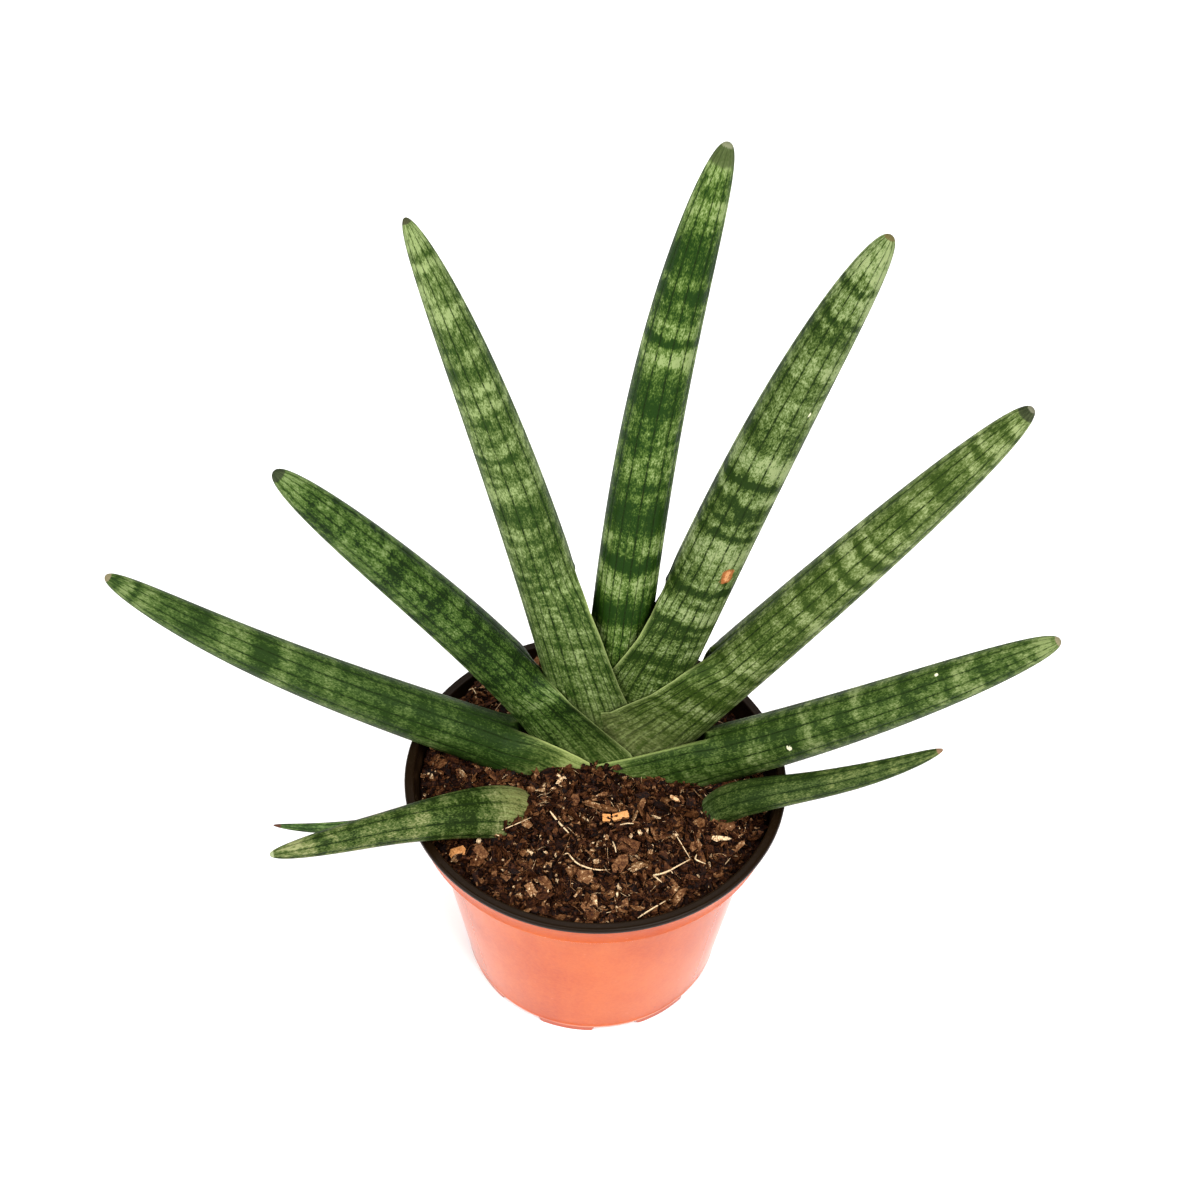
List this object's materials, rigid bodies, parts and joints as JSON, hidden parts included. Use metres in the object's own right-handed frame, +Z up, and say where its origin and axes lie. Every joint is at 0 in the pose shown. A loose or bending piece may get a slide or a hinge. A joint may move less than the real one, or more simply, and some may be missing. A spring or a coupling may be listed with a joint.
{
  "type": "cylindrical snake plant in a nursery pot",
  "caption": "Fan of stiff rod-shaped succulent leaves with young offsets, rooted in potting mix in a tapered round plastic nursery pot, terracotta outside and black inside.",
  "frame": {"origin": "under the middle of the whole plant, on the surface that the pot's feet stand on; the pot's axis is at x = 0.005, y = 0", "axes": "+Z up, +X to the right along the fan of leaves, +Y towards the back of the pot, across the fan"},
  "size_m": [0.2718, 0.12, 0.289],
  "materials": {
    "terracotta_plastic": "satin",
    "black_plastic": "satin",
    "potting_mix": "matte",
    "rhizome_flesh": "matte",
    "leaf_green": "satin"
  },
  "bodies": {
    "root": {"pot": "terracotta_plastic", "potting_mix": "potting_mix", "rhizome": "rhizome_flesh", "leaf_centre": "leaf_green", "leaf_right_high": "leaf_green", "leaf_left_high": "leaf_green", "leaf_right_mid": "leaf_green", "leaf_left_mid": "leaf_green", "leaf_left_low": "leaf_green", "leaf_right_low": "leaf_green", "offset_left_back": "leaf_green", "offset_left_front": "leaf_green", "offset_right": "leaf_green"}
  },
  "joints": []
}
